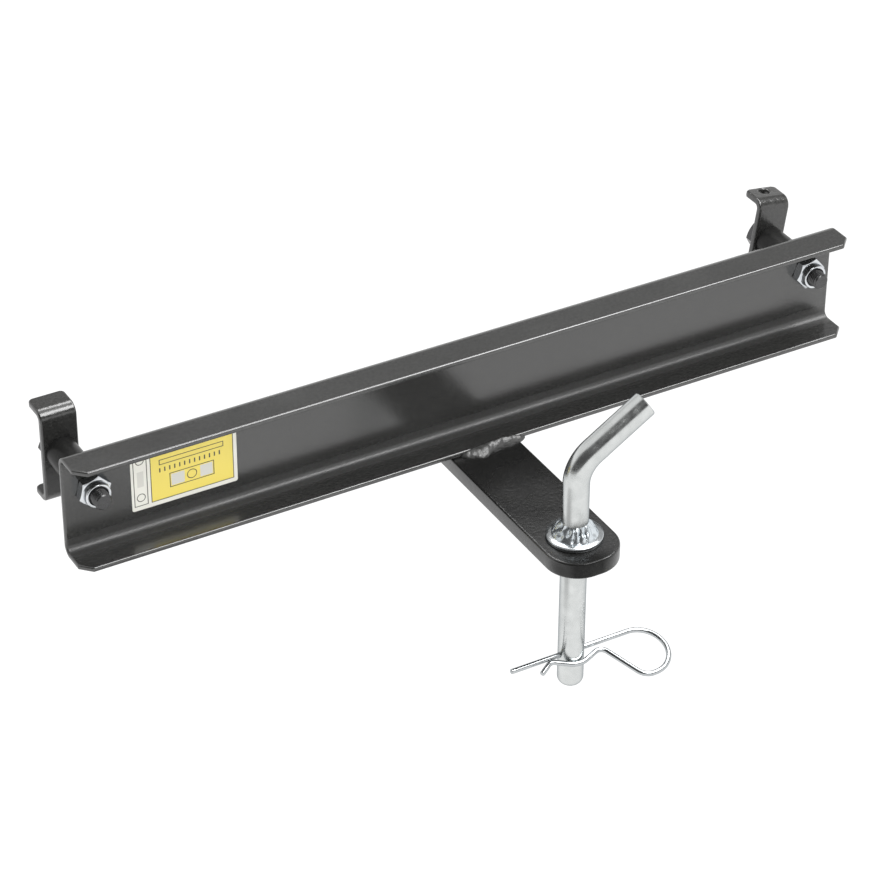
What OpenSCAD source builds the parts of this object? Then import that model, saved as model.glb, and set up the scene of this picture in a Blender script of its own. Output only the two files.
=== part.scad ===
// Tow hitch for a garden mower: a folded channel beam with a welded tongue, a hitch pin held by
// a spring clip, and two clamp brackets behind the beam on long bolts through spacer sleeves.
// Millimetres. X runs along the beam, Y towards the mower, Z up. The origin is on the back face
// of the beam's web, halfway along the beam and level with the bolt axes.

/* [Beam] */
// Length of the channel beam
beam_len = 500; // [420:5:640]
// Height over both flanges
beam_h = 65; // [60:0.5:80]
// Depth of the flanges from the web's back face
beam_d = 24.5; // [20:0.5:34]
// Thickness of the folded sheet
sheet_t = 3; // [2:0.5:4]
// Outer radius of the two folds
fold_r = 6.5; // [5:0.5:8]
// Leg of the 45 degree cut at the flanges' free corners
corner_cut = 6.5; // [2:0.5:9]
// Distance from the beam's top down to the bolt axes
bolt_drop = 25.5; // [22:0.5:32]
// Distance from the beam's ends to the bolt axes
bolt_inset = 17; // [13:0.5:24]

/* [Tongue] */
// Width of the flat bar
tongue_w = 44; // [38:1:56]
// Thickness of the flat bar
tongue_t = 10; // [8:0.5:14]
// Distance from the web's back face to the tongue's front end
tongue_reach = 148; // [120:1:200]
// Distance from the web's back face to the tongue's rear end
tongue_setback = 1; // [0:0.5:3]
// Corner radius of the tongue's front end
tongue_corner_r = 19.5; // [5:0.5:22]
// Distance from the tongue's front end back to the pin axis
pin_setback = 26; // [20:0.5:36]

/* [Welds] */
// Reach of the front bead on the tongue, in front of the flange
bead_reach = 8.5; // [6:0.5:11]
// Height of the front bead's crown above the flange's upper face
bead_crown = 0.7; // [0.3:0.1:1.5]
// Distance from the tongue's middle to the bead's left end
bead_left = 16; // [12:0.5:20]
// Overrun of the bead past the tongue's right edge
bead_overrun = 4.5; // [2:0.5:6]
// Spacing of the ripples along the bead
bead_pitch = 4.2; // [3:0.1:6]
// Length of the rear bead under the lower fold
rear_bead_len = 38; // [24:1:38]

/* [Bolts and nuts] */
// Diameter of the bolts
bolt_d = 10; // [8:0.5:11]
// Length of the bolts under the head
bolt_len = 60; // [58:0.5:70]
// Chamfer at the bolt's tip
bolt_tip = 0.9; // [0.5:0.1:1.5]
// Width across the flats of nut and bolt head
hex_af = 17; // [16:0.5:19]
// Height of the bolt head
head_h = 6.4; // [5:0.1:8]
// Height of the nut's hexagon
nut_hex_h = 6; // [5:0.1:7]
// Height of the nut's round collar
nut_collar_h = 4; // [3:0.1:5]
// Wall of the nut's collar around the nylon ring
nut_collar_t = 1.2; // [0.8:0.1:1.4]
// Radial width of the nylon ring
insert_w = 1.3; // [1:0.1:1.5]
// Turn of the left nut's hexagon about its bolt
left_nut_turn = 16; // [-30:1:30]
// Turn of the right nut's hexagon about its bolt
right_nut_turn = 10; // [-30:1:30]
// Radial clearance of the bolts in the web and the sleeves
bolt_gap = 0.25; // [0.1:0.05:0.5]

/* [Spacer sleeves] */
// Outer diameter of the sleeves
sleeve_d = 18.5; // [15:0.5:22]
// Length of the sleeves, from the web to the bracket
sleeve_len = 36.7; // [33:0.1:38]

/* [Brackets] */
// Width of the strip
strip_w = 21.5; // [18:0.5:30]
// Thickness of the strip
strip_t = 4; // [3:0.5:5]
// Height of the bracket above the bolt axis
bracket_up = 27; // [24:0.5:36]
// Depth of the bracket below the bolt axis
bracket_down = 32.5; // [26:0.5:40]
// Depth of the upper lip from the plate's front face
upper_lip = 18; // [16:0.5:30]
// Depth of the lower lip from the plate's front face
lower_lip = 16; // [12:0.5:30]
// Outer radius of the bracket's folds
strip_fold_r = 6.5; // [5.5:0.5:8]
// Radius of the lips' free corners
lip_corner_r = 3; // [1:0.5:5]
// Diameter of the hole in each bracket's punched lip
lip_hole_d = 6.5; // [4:0.5:7]
// Distance from the punched lip's free edge to its hole's axis
lip_hole_edge = 5; // [4.5:0.5:7]
// Turn of the left bracket about its bolt, towards +X
left_turn = 0; // [-15:0.1:15]
// Turn of the right bracket about its bolt, towards +X
right_turn = 8.2; // [-15:0.1:15]
// Radial clearance of the brackets on their bolts
swivel_gap = 0.1; // [0.05:0.01:0.1]

/* [Hitch pin] */
// Diameter of the pin
pin_d = 15; // [12:0.5:18]
// Depth of the pin's tip below the tongue's upper face
pin_depth = 100.5; // [90:0.5:130]
// Rounding radius of the pin's lower edge
pin_tip_r = 5; // [1:0.5:5.5]
// Height above the tongue at which the bend starts
bend_start = 35.6; // [25:0.1:60]
// Radius of the bend along the pin's centre line
bend_r = 20.7; // [14:0.1:35]
// Angle of the bend
bend_angle = 58; // [30:1:90]
// Straight length of the grip beyond the bend
grip_len = 39; // [25:0.5:80]
// Chamfer at the grip's cut end
grip_edge = 0.6; // [0.2:0.1:1.5]
// Height of the cross hole above the pin's tip
cross_up = 21.5; // [16:0.5:30]
// Radial clearance of the pin in the tongue
pin_gap = 0.1; // [0.05:0.01:0.1]
// Diameter of the stop collar
collar_d = 32; // [28:0.5:38]
// Thickness of the stop collar
collar_t = 3.2; // [2:0.1:5]
// Height of the weld on the collar
collar_weld_h = 7.7; // [4:0.1:10]
// Width of the weld's foot on the collar
collar_weld_w = 5.8; // [3:0.1:6]

/* [Spring clip] */
// Diameter of the spring wire
wire_d = 3; // [2.4:0.1:3.4]
// Radial clearance of the wire in the cross hole
wire_gap = 0.1; // [0.05:0.01:0.1]
// Downward tilt of the clip's plane in front of the pin
clip_tilt = 15; // [0:1:30]
// Length of the straight leg to the left of the pin axis
clip_leg = 39; // [28:0.5:50]
// Distance from the pin axis to the loop's centre
loop_x = 37; // [34:0.5:50]
// Radius of the loop along the wire's centre line
loop_r = 15.85; // [13:0.05:18]
// Distance from the loop's centre back to the corner of the sprung leg
loop_back = 6.5; // [6:0.1:9]
// Bend radius at that corner
loop_back_r = 8.5; // [4:0.5:9]
// Distance from the pin axis to the clip's neck
neck_x = 17.2; // [16:0.1:20]
// Opening of the clip at its neck, to the corner of the wire's centre line
neck_w = 4; // [3.8:0.1:5]
// Bend radius of the neck
neck_r = 5; // [3:0.5:6]
// Radius of the crown that rides over the pin
crown_r = 12; // [10:0.5:13]
// Gap between the crown and the pin
crown_gap = 0.2; // [0.1:0.05:0.5]
// Distance from the pin axis to the dip beyond the crown
dip_x = 14.6; // [13.5:0.1:18]
// Height of the dip's corner over the straight leg
dip_w = 2.5; // [2.4:0.1:4]
// Bend radius of the dip
dip_r = 4; // [3:0.5:5]
// Length of the tail beyond the dip
tail_x = 8.9; // [6:0.1:14]
// Rise of the tail beyond the dip
tail_w = 5.7; // [3:0.1:8]

/* [Label] */
// Width of the label
label_w = 64; // [40:1:90]
// Height of the label
label_h = 40; // [30:1:44]
// Thickness of the label
label_t = 0.2; // [0.1:0.05:0.3]
// Distance from the beam's left end to the label
label_inset = 40; // [36:1:80]
// Height of the label's lower edge above the lower flange
label_up = 12; // [8:0.5:14]

/* [Hidden] */
$fn = 64;

coat = [0.13, 0.13, 0.13];
zinc = [0.80, 0.81, 0.82];
bright_zinc = [0.88, 0.89, 0.90];
oxide = [0.10, 0.10, 0.10];
nylon = [0.07, 0.07, 0.08];
label_yellow = [0.94, 0.84, 0.38];

// A cutter runs this far past what it cuts
cut = 1;
// Half width of the ring over a bent rod's seams, and its height over the rod
seam = 0.1;
seam_rise = 0.03;

beam_bottom = bolt_drop - beam_h;
bolt_x = beam_len / 2 - bolt_inset;
bolt_r = bolt_d / 2;
hex_r = hex_af / 2 / cos(30);
seat_y = sleeve_len + strip_t;
nut_face_y = -sheet_t;
collar_r = bolt_r + insert_w + nut_collar_t;
insert_floor = 0.6;
insert_lip = 0.4;

tongue_top = beam_bottom;
tongue_end_r = min(tongue_corner_r, tongue_w / 2 - 0.01);
pin_y = pin_setback - tongue_reach;
pin_r = pin_d / 2;
pin_tip_z = tongue_top - pin_depth;
cross_z = pin_tip_z + cross_up;
bend_z = tongue_top + bend_start;

bend_setback = bend_r * tan(bend_angle / 2);
grip_reach = bend_setback + grip_len;
// Corners of the pin's centre line in X and Z, each with its bend radius
PIN = [
    [0, pin_tip_z + pin_tip_r, 0],
    [0, bend_z + bend_setback, bend_r],
    [grip_reach * sin(bend_angle), bend_z + bend_setback + grip_reach * cos(bend_angle), 0]
];

wire_r = wire_d / 2;
crown_base = (pin_r + wire_r + crown_gap) / cos(clip_tilt);
// Half the turn of the crown, first with its corner as high as its arc and then as drawn
function crown_half(w) = (atan((w - neck_w) / neck_x) + atan((w - dip_w) / dip_x)) / 2;
function crown_corner(w) = crown_base + crown_r * (1 / cos(crown_half(w)) - 1);
crown_w = crown_corner(crown_corner(crown_base));
// Corners of the wire's centre line, each with its bend radius
CLIP = [
    [-clip_leg, 0, 0],
    [loop_x + loop_r, 0, loop_r],
    [loop_x + loop_r, 2 * loop_r, loop_r],
    [loop_x - loop_back, 2 * loop_r, loop_back_r],
    [neck_x, neck_w, neck_r],
    [0, crown_w, crown_r],
    [-dip_x, dip_w, dip_r],
    [-dip_x - tail_x, dip_w + tail_w, 0]
];

// Signed angle from -180 to 180
function wrapped(a) = a > 180 ? a - 360 : a < -180 ? a + 360 : a;
function heading(p, i) = atan2(p[i + 1][1] - p[i][1], p[i + 1][0] - p[i][0]);
function turn(p, i) = wrapped(heading(p, i) - heading(p, i - 1));
function setback(p, i) = i == 0 || i == len(p) - 1 ? 0 : p[i][2] * tan(abs(turn(p, i)) / 2);
function span(p, i) = norm([p[i + 1][0] - p[i][0], p[i + 1][1] - p[i][1]]);
function straight(p, i) = span(p, i) - setback(p, i) - setback(p, i + 1);

// Cylinder along X from x = a to x = b
module along_x(a, b, r) {
    translate([a, 0, 0])
        rotate([0, 90, 0])
            cylinder(h = b - a, r = r);
}

// Round rod in the XY plane along the corners of p, with a true arc at each corner and a
// hair-thin ring over each seam between a straight length and an arc
module bent_rod(p, r) {
    last = len(p) - 2;
    for (i = [0 : last]) {
        start = setback(p, i);
        end = start + straight(p, i);
        translate([p[i][0], p[i][1], 0])
            rotate([0, 0, heading(p, i)]) {
                if (end - start > 4 * seam)
                    along_x(start + (i > 0 ? seam : 0), end - (i < last ? seam : 0), r);
                if (i > 0)
                    along_x(start - seam, start + 2 * seam, r + seam_rise);
                if (i < last)
                    along_x(end - 2 * seam, end + seam, r + seam_rise);
            }
    }
    for (i = [1 : len(p) - 2])
        translate([p[i][0], p[i][1], 0])
            rotate([0, 0, heading(p, i - 1)])
                translate([-setback(p, i), sign(turn(p, i)) * p[i][2], 0])
                    rotate([0, 0, turn(p, i) > 0 ? -90 : 90 + turn(p, i)])
                        rotate_extrude(angle = abs(turn(p, i)))
                            translate([p[i][2], 0])
                                circle(r);
}

// Rectangle from (0, 0) to (d, h) with the two corners at x = 0 rounded
module folded_outline(d, h, r) {
    translate([r, 0])
        square([d - r, h]);
    translate([0, r])
        square([r + cut / 10, h - 2 * r]);
    for (y = [r, h - r])
        translate([r, y])
            circle(r);
}

// Channel section: the web's outer face lies on x = 0 and the flanges run to x = d
module channel_outline(d, h, t, r) {
    difference() {
        folded_outline(d, h, r);
        translate([t, t])
            folded_outline(d, h - 2 * t, r - t);
    }
}

// Bar along +Y from y = 0 to y = h, of the outline given as its child in X and Z
module along_y(h) {
    translate([0, h, 0])
        rotate([90, 0, 0])
            linear_extrude(height = h)
                children();
}

// Hexagon with its corners rounded off by a cone at the far end, from y = 0 towards -Y
module hex_block(h) {
    intersection() {
        rotate([90, 0, 0])
            cylinder(h = h, r = hex_r, $fn = 6);
        rotate([90, 0, 0])
            union() {
                cylinder(h = h - (hex_r - hex_af / 2) * tan(30), r = hex_r + cut);
                translate([0, 0, h - (hex_r - hex_af / 2) * tan(30) - cut * tan(30)])
                    cylinder(h = (hex_r - hex_af / 2 + cut) * tan(30), r1 = hex_r + cut, r2 = hex_af / 2);
            }
    }
}

// Folded sheet channel with cut corners and a bolt hole near each end
module beam() {
    color(coat)
        difference() {
            translate([-beam_len / 2, 0, beam_bottom])
                rotate([90, 0, 90])
                    mirror([1, 0, 0])
                        linear_extrude(height = beam_len)
                            channel_outline(beam_d, beam_h, sheet_t, fold_r);
            for (side = [-1, 1]) {
                translate([side * beam_len / 2, -beam_d, beam_bottom - cut])
                    linear_extrude(height = beam_h + 2 * cut)
                        polygon([
                            [-side * corner_cut, 0],
                            [0, corner_cut],
                            [side * cut, corner_cut],
                            [side * cut, -cut],
                            [-side * corner_cut, -cut]
                        ]);
                translate([side * bolt_x, cut, 0])
                    rotate([90, 0, 0])
                        cylinder(h = sheet_t + 2 * cut, r = bolt_r + bolt_gap);
            }
        }
}

// Flat bar with a rounded front end and the pin's hole
module tongue() {
    color(coat)
        translate([0, 0, tongue_top - tongue_t])
            difference() {
                linear_extrude(height = tongue_t)
                    union() {
                        translate([-tongue_w / 2, tongue_end_r - tongue_reach])
                            square([tongue_w, tongue_reach - tongue_end_r - tongue_setback]);
                        translate([tongue_end_r - tongue_w / 2, -tongue_reach])
                            square([tongue_w - 2 * tongue_end_r, tongue_end_r + cut]);
                        for (side = [-1, 1])
                            translate([side * (tongue_w / 2 - tongue_end_r), tongue_end_r - tongue_reach])
                                circle(tongue_end_r);
                    }
                translate([0, pin_y, -cut])
                    cylinder(h = tongue_t + 2 * cut, r = pin_r + pin_gap);
            }
}

// Rippled bead in the corner between the flange's front edge and the tongue's upper face
module weld_front() {
    bead_top = sheet_t + bead_crown;
    sink = (bead_reach * bead_reach - bead_top * bead_top) / (2 * bead_top);
    ball_r = sink + bead_top;
    first_x = bead_reach - bead_left;
    last_x = tongue_w / 2 + bead_overrun - bead_reach;
    count = max(2, round((last_x - first_x) / bead_pitch) + 1);
    color(coat)
        difference() {
            intersection() {
                for (i = [0 : count - 1])
                    translate([
                        first_x + (last_x - first_x) * i / (count - 1),
                        -beam_d + 0.5 * sin(150 * i),
                        tongue_top - sink
                    ])
                        sphere(ball_r);
                translate([-bead_left, -beam_d - 2 * bead_reach, tongue_top - 3])
                    cube([bead_left + tongue_w / 2 + bead_overrun, 2 * bead_reach, 3 + 2 * bead_top]);
            }
            translate([-tongue_w / 2, -tongue_reach, tongue_top - tongue_t])
                cube([tongue_w, tongue_reach, tongue_t]);
        }
}

// Bead in the wedge between the lower fold and the tongue's upper face
module weld_back() {
    color(coat)
        difference() {
            translate([-rear_bead_len / 2, -fold_r, tongue_top])
                cube([rear_bead_len, fold_r - tongue_setback - 0.4, fold_r * 0.55]);
            translate([-rear_bead_len / 2 - cut, -fold_r, tongue_top + fold_r])
                rotate([0, 90, 0])
                    cylinder(h = rear_bead_len + 2 * cut, r = fold_r);
        }
}

// Sticker on the web's front face
module label() {
    color(label_yellow)
        translate([label_inset - beam_len / 2, -sheet_t - label_t, beam_bottom + sheet_t + label_up])
            cube([label_w, label_t, label_h]);
}

// Plain tube between web and bracket
module spacer(side) {
    color(coat)
        translate([side * bolt_x, 0, 0])
            along_y(sleeve_len)
                difference() {
                    circle(d = sleeve_d);
                    circle(bolt_r + bolt_gap);
                }
}

// Hexagon bolt with its head behind the bracket and its tip in front of the nut
module bolt(side) {
    color(oxide)
        translate([side * bolt_x, seat_y, 0]) {
            rotate([90, 0, 0])
                cylinder(h = bolt_len - bolt_tip, r = bolt_r);
            translate([0, -bolt_len + bolt_tip, 0])
                rotate([90, 0, 0])
                    cylinder(h = bolt_tip, r1 = bolt_r, r2 = bolt_r - bolt_tip);
            mirror([0, 1, 0])
                hex_block(head_h);
        }
}

// Lock nut: hexagon, round collar with a pocket for the nylon ring, and a turned-in rim
module nut(side, hex_turn) {
    round_h = nut_hex_h + nut_collar_h;
    color(zinc)
        translate([side * bolt_x, nut_face_y, 0])
            difference() {
                union() {
                    rotate([0, -hex_turn, 0])
                        hex_block(nut_hex_h);
                    rotate([90, 0, 0])
                        cylinder(h = round_h - nut_collar_t, r = collar_r);
                    translate([0, nut_collar_t - round_h, 0])
                        rotate([90, 0, 0])
                            cylinder(h = nut_collar_t, r1 = collar_r, r2 = collar_r - nut_collar_t * 0.7);
                }
                translate([0, cut, 0])
                    rotate([90, 0, 0])
                        cylinder(h = round_h + 2 * cut, r = bolt_r);
                translate([0, -nut_hex_h - insert_floor, 0])
                    rotate([90, 0, 0])
                        cylinder(h = nut_collar_h - insert_floor - insert_lip, r = bolt_r + insert_w);
                translate([0, -round_h + insert_lip + cut / 10, 0])
                    rotate([90, 0, 0])
                        cylinder(h = insert_lip + cut, r = bolt_r + insert_w * 0.6);
            }
}

// Nylon ring in the nut's collar
module nut_insert(side) {
    ring_h = nut_collar_h - insert_floor - insert_lip;
    color(nylon)
        translate([side * bolt_x, nut_face_y - nut_hex_h - insert_floor, 0])
            rotate([90, 0, 0])
                difference() {
                    cylinder(h = ring_h, r = bolt_r + insert_w);
                    translate([0, 0, -cut])
                        cylinder(h = ring_h + 2 * cut, r = bolt_r);
                }
}

// Rounded free edge of a lip, as a solid along Z that is kept where the lip is
module lip_plan(lip) {
    linear_extrude(height = bracket_up + bracket_down + 2 * cut)
        union() {
            translate([-strip_w / 2, -cut])
                square([strip_w, lip - lip_corner_r + cut]);
            translate([lip_corner_r - strip_w / 2, 0])
                square([strip_w - 2 * lip_corner_r, lip]);
            for (side = [-1, 1])
                translate([side * (strip_w / 2 - lip_corner_r), lip - lip_corner_r])
                    circle(lip_corner_r);
        }
}

// C-shaped clamp bracket folded from strip, turned about its bolt. The hole is in its upper lip,
// or in its lower lip where the strip was hung the other way up.
module bracket(side, swivel, hole_up) {
    holed_lip = hole_up ? upper_lip : lower_lip;
    holed_z = hole_up ? bracket_up - strip_t : -bracket_down;
    color(coat)
        translate([side * bolt_x, sleeve_len, 0])
            rotate([0, swivel, 0])
                difference() {
                    translate([-strip_w / 2, 0, -bracket_down])
                        rotate([90, 0, 90])
                            linear_extrude(height = strip_w)
                                channel_outline(
                                    max(upper_lip, lower_lip), bracket_up + bracket_down, strip_t, strip_fold_r
                                );
                    lip_trim(upper_lip, 0);
                    lip_trim(lower_lip, -bracket_down - cut);
                    translate([0, -cut, 0])
                        along_y(strip_t + 2 * cut)
                            circle(bolt_r + swivel_gap);
                    translate([0, holed_lip - lip_hole_edge, holed_z - cut])
                        cylinder(h = strip_t + 2 * cut, d = lip_hole_d);
                }
}

// What is cut away around a lip's free edge, above the height z
module lip_trim(lip, z) {
    translate([0, 0, z])
        difference() {
            translate([-strip_w / 2 - cut, lip - lip_corner_r, 0])
                cube([strip_w + 2 * cut, max(upper_lip, lower_lip) + cut, z < 0 ? -z : bracket_up + cut]);
            translate([0, 0, -cut])
                lip_plan(lip);
        }
}

// Round bar, bent over at the top, with a rounded tip and a cross hole
module hitch_pin() {
    color(bright_zinc)
        translate([0, pin_y, 0])
            difference() {
                union() {
                    rotate([90, 0, 0])
                        bent_rod(PIN, pin_r);
                    translate([0, 0, pin_tip_z])
                        rotate_extrude()
                            pin_tip_outline();
                }
                translate([PIN[2][0], 0, PIN[2][1]])
                    rotate([0, bend_angle, 0])
                        rotate_extrude()
                            polygon([
                                [pin_r - grip_edge - cut, cut],
                                [pin_r + cut, -grip_edge - cut],
                                [pin_r + cut, cut]
                            ]);
                translate([-pin_d, 0, cross_z])
                    rotate([0, 90, 0])
                        cylinder(h = 2 * pin_d, r = wire_r + wire_gap);
            }
}

// Half section of the pin's tip, from its flat end up to the full diameter
module pin_tip_outline() {
    square([pin_r - pin_tip_r, pin_tip_r]);
    intersection() {
        translate([pin_r - pin_tip_r, pin_tip_r])
            circle(pin_tip_r);
        translate([pin_r - pin_tip_r, 0])
            square([pin_tip_r, pin_tip_r]);
    }
}

// Stop ring that rests on the tongue
module pin_collar() {
    color(zinc)
        translate([0, pin_y, tongue_top])
            difference() {
                cylinder(h = collar_t, d = collar_d);
                translate([0, 0, -cut])
                    cylinder(h = collar_t + 2 * cut, r = pin_r);
            }
}

// Weld all round between pin and collar
module pin_weld() {
    color(zinc)
        translate([0, pin_y, tongue_top + collar_t])
            rotate_extrude()
                polygon([
                    [pin_r, 0],
                    [pin_r + collar_weld_w, 0],
                    [pin_r + collar_weld_w * 0.62, collar_weld_h * 0.55],
                    [pin_r, collar_weld_h]
                ]);
}

// Spring clip: a straight leg through the cross hole and a sprung leg round the pin's front
module hairpin_clip() {
    color(bright_zinc)
        translate([0, pin_y, cross_z])
            rotate([180 + clip_tilt, 0, 0])
                bent_rod(CLIP, wire_r);
}

beam();
tongue();
weld_front();
weld_back();
label();
spacer(-1);  // spacer_left
spacer(1);  // spacer_right
bolt(-1);  // bolt_left
bolt(1);  // bolt_right
nut(-1, left_nut_turn);  // nut_left
nut(1, right_nut_turn);  // nut_right
nut_insert(-1);  // nut_insert_left
nut_insert(1);  // nut_insert_right
bracket(-1, left_turn, false);  // bracket_left
bracket(1, right_turn, true);  // bracket_right
hitch_pin();
pin_collar();
pin_weld();
hairpin_clip();
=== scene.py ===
"""Mower tow hitch: a black channel beam with a welded tongue, two clamp brackets held behind it on
long bolts, and a zinc-plated hitch pin with its hairpin clip. Everything is in metres, in the frame
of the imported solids: X along the beam, +Y towards the mower, +Z up."""
import math

import bmesh
import bpy
import numpy as np
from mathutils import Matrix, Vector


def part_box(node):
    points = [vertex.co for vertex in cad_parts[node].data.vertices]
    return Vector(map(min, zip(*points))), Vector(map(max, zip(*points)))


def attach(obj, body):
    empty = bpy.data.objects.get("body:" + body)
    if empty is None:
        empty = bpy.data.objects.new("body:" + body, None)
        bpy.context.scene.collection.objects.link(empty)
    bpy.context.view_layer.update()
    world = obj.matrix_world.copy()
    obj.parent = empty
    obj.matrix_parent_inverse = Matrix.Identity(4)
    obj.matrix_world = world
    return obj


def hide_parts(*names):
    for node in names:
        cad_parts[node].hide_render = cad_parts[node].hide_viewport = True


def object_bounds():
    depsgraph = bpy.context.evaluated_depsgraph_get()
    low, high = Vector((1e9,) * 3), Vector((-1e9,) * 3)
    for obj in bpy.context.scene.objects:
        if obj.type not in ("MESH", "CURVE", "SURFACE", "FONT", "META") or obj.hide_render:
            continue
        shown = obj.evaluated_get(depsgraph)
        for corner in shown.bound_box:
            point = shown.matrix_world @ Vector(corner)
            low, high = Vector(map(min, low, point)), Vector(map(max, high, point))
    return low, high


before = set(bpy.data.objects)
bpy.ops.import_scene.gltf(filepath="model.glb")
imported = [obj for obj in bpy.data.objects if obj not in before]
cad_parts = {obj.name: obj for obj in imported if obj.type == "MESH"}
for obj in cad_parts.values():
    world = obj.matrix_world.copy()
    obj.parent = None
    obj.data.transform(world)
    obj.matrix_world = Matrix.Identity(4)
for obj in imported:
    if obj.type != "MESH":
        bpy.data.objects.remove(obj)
cad_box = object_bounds()


# Camera: a long lens well in front of the hitch, to its left and above it. Place, turn and lens were
# fitted to the photograph's straight edges.

camera = bpy.data.objects.new("camera", bpy.data.cameras.new("camera"))
camera.location = (-0.7865, -1.3568, 1.0088)
camera.rotation_euler = [math.radians(turn) for turn in (56.121, -0.1565, -29.390)]
camera.data.lens = 135.85
camera.data.sensor_width = 36.0
camera.data.clip_end = 50.0
bpy.context.collection.objects.link(camera)
bpy.context.scene.camera = camera
bpy.context.scene.view_settings.view_transform = "Standard"


# Beam: one strip of 3 mm sheet steel folded to a channel, its flange corners cut at 45 degrees, and
# black powder baked on. The coat rounds each cut edge, and it lies drier inside the folds. Faces that
# hang down are given less reflection than the rest: a painted shade.

def linear(hex_colour):
    """The linear RGBA of an sRGB hex colour: a value v above 0.04045 is ((v + 0.055) / 1.055) ^ 2.4,
    and a smaller one v / 12.92."""
    channels = [int(hex_colour[i:i + 2], 16) / 255 for i in (1, 3, 5)]
    return [v / 12.92 if v <= 0.04045 else ((v + 0.055) / 1.055) ** 2.4 for v in channels] + [1.0]


def add_node(tree, kind, inputs, **settings):
    """Adds one node: settings are its own properties, and inputs gives each socket a value or what
    feeds it."""
    node = tree.nodes.new("ShaderNode" + kind)
    for name, value in settings.items():
        setattr(node, name, value)
    feed(tree, node, inputs)
    return node


def feed(tree, node, inputs):
    """Gives each named socket of a node its value, or links it to the socket that feeds it. A node
    stands for its first output."""
    for name, value in inputs.items():
        if isinstance(value, bpy.types.Node):
            value = value.outputs[0]
        if isinstance(value, bpy.types.NodeSocket):
            tree.links.new(value, node.inputs[name])
        else:
            node.inputs[name].default_value = value


def new_material(name, inputs):
    """A material and its tree, its Principled shader, and the object's own coordinates."""
    material = bpy.data.materials.new(name)
    material.use_nodes = True
    tree = material.node_tree
    shader = tree.nodes["Principled BSDF"]
    feed(tree, shader, inputs)
    return material, tree, shader, add_node(tree, "TexCoord", {}).outputs["Object"]


# Nearly all values of a noise texture lie in this span.
noise_span = {"From Min": 0.3, "From Max": 0.7}


def powder_coat(name, peel_depth, pit_depth, roughness, gleam, dark="#20201f", light="#333332"):
    """Black polyester powder over steel. The powder flows out to a shallow orange peel, a little
    greyer on its crests, and on hot-rolled bar the scale pits below still show. Peel and pits are
    drawn coarser than they are, so that they show."""
    peel_width, pit_width, cloud_width = 0.0016, 0.0025, 0.045
    material, tree, shader, place = new_material(name, {"IOR": 1.6, "Specular IOR Level": gleam})
    peel = add_node(tree, "TexNoise", {"Vector": place, "Scale": 1 / peel_width, "Detail": 2.0})
    cloud = add_node(tree, "TexNoise", {"Vector": place, "Scale": 1 / cloud_width, "Detail": 3.0})
    pits = add_node(tree, "TexNoise", {"Vector": place, "Scale": 1 / pit_width, "Detail": 2.0})
    # A pit lies only where its noise is high.
    pit = add_node(tree, "MapRange", {"Value": pits, "From Min": 0.4, "From Max": 0.75},
                   interpolation_type="SMOOTHSTEP")
    crest = add_node(tree, "MapRange", {"Value": peel, **noise_span})
    tint = add_node(tree, "Mix", {0: crest, 6: linear(dark), 7: linear(light)}, data_type="RGBA")
    gloss = add_node(tree, "MapRange", {"Value": cloud, **noise_span,
                                        "To Min": roughness * 0.85, "To Max": roughness * 1.2})
    deep = add_node(tree, "Bump", {"Height": pit, "Strength": 1.0,
                                   "Distance": pit_depth}, invert=True)
    bump = add_node(tree, "Bump", {"Height": peel, "Strength": 1.0,
                                   "Distance": peel_depth, "Normal": deep})
    feed(tree, shader, {"Base Color": tint.outputs[2], "Roughness": gloss, "Normal": bump})
    return material, tree, shader, place


def grid_faces(rows, columns, close_rows=False, close_columns=False):
    """Quads between neighbours of a grid whose points are numbered row by row, closed on itself
    where asked."""
    row = np.arange(rows if close_rows else rows - 1)[:, None]
    column = np.arange(columns if close_columns else columns - 1)[None, :]
    below = (row + 1) % rows
    right = (column + 1) % columns
    corners = [row * columns + column, row * columns + right,
               below * columns + right, below * columns + column]
    return np.stack(np.broadcast_arrays(*corners), -1).reshape(-1, 4)


def closed_rings(points, loop=False):
    """Points and faces for rows of points that each close on themselves; with loop, the last row
    joins the first."""
    return points.reshape(-1, 3), grid_faces(*points.shape[:2], close_rows=loop, close_columns=True)


def join(*parts):
    """One list of points and one of faces from several, each part's faces counted on."""
    starts = np.cumsum([0] + [len(points) for points, _ in parts[:-1]])
    points = np.concatenate([points for points, _ in parts])
    return points, np.concatenate([faces + start for (_, faces), start in zip(parts, starts)])


def add_piece(name, surface, material, body, slot, *nodes):
    """Makes a closed piece from (points, faces): points that coincide become one, faces that lost
    their area go, normals turn outwards, and only edges sharper than the crease stay sharp."""
    merge_within, no_length, crease = 2e-6, 1e-7, 38
    mesh = bpy.data.meshes.new(name)
    points, faces = surface
    mesh.from_pydata(points, [], faces)
    work = bmesh.new()
    work.from_mesh(mesh)
    bmesh.ops.remove_doubles(work, verts=work.verts, dist=merge_within)
    bmesh.ops.dissolve_degenerate(work, edges=work.edges, dist=no_length)
    bmesh.ops.recalc_face_normals(work, faces=work.faces)
    work.to_mesh(mesh)
    work.free()
    mesh.shade_smooth()
    mesh.set_sharp_from_angle(angle=math.radians(crease))
    mesh.materials.append(material)
    piece = bpy.data.objects.new(name, mesh)
    bpy.context.collection.objects.link(piece)
    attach(piece, body)
    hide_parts(*nodes)


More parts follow.
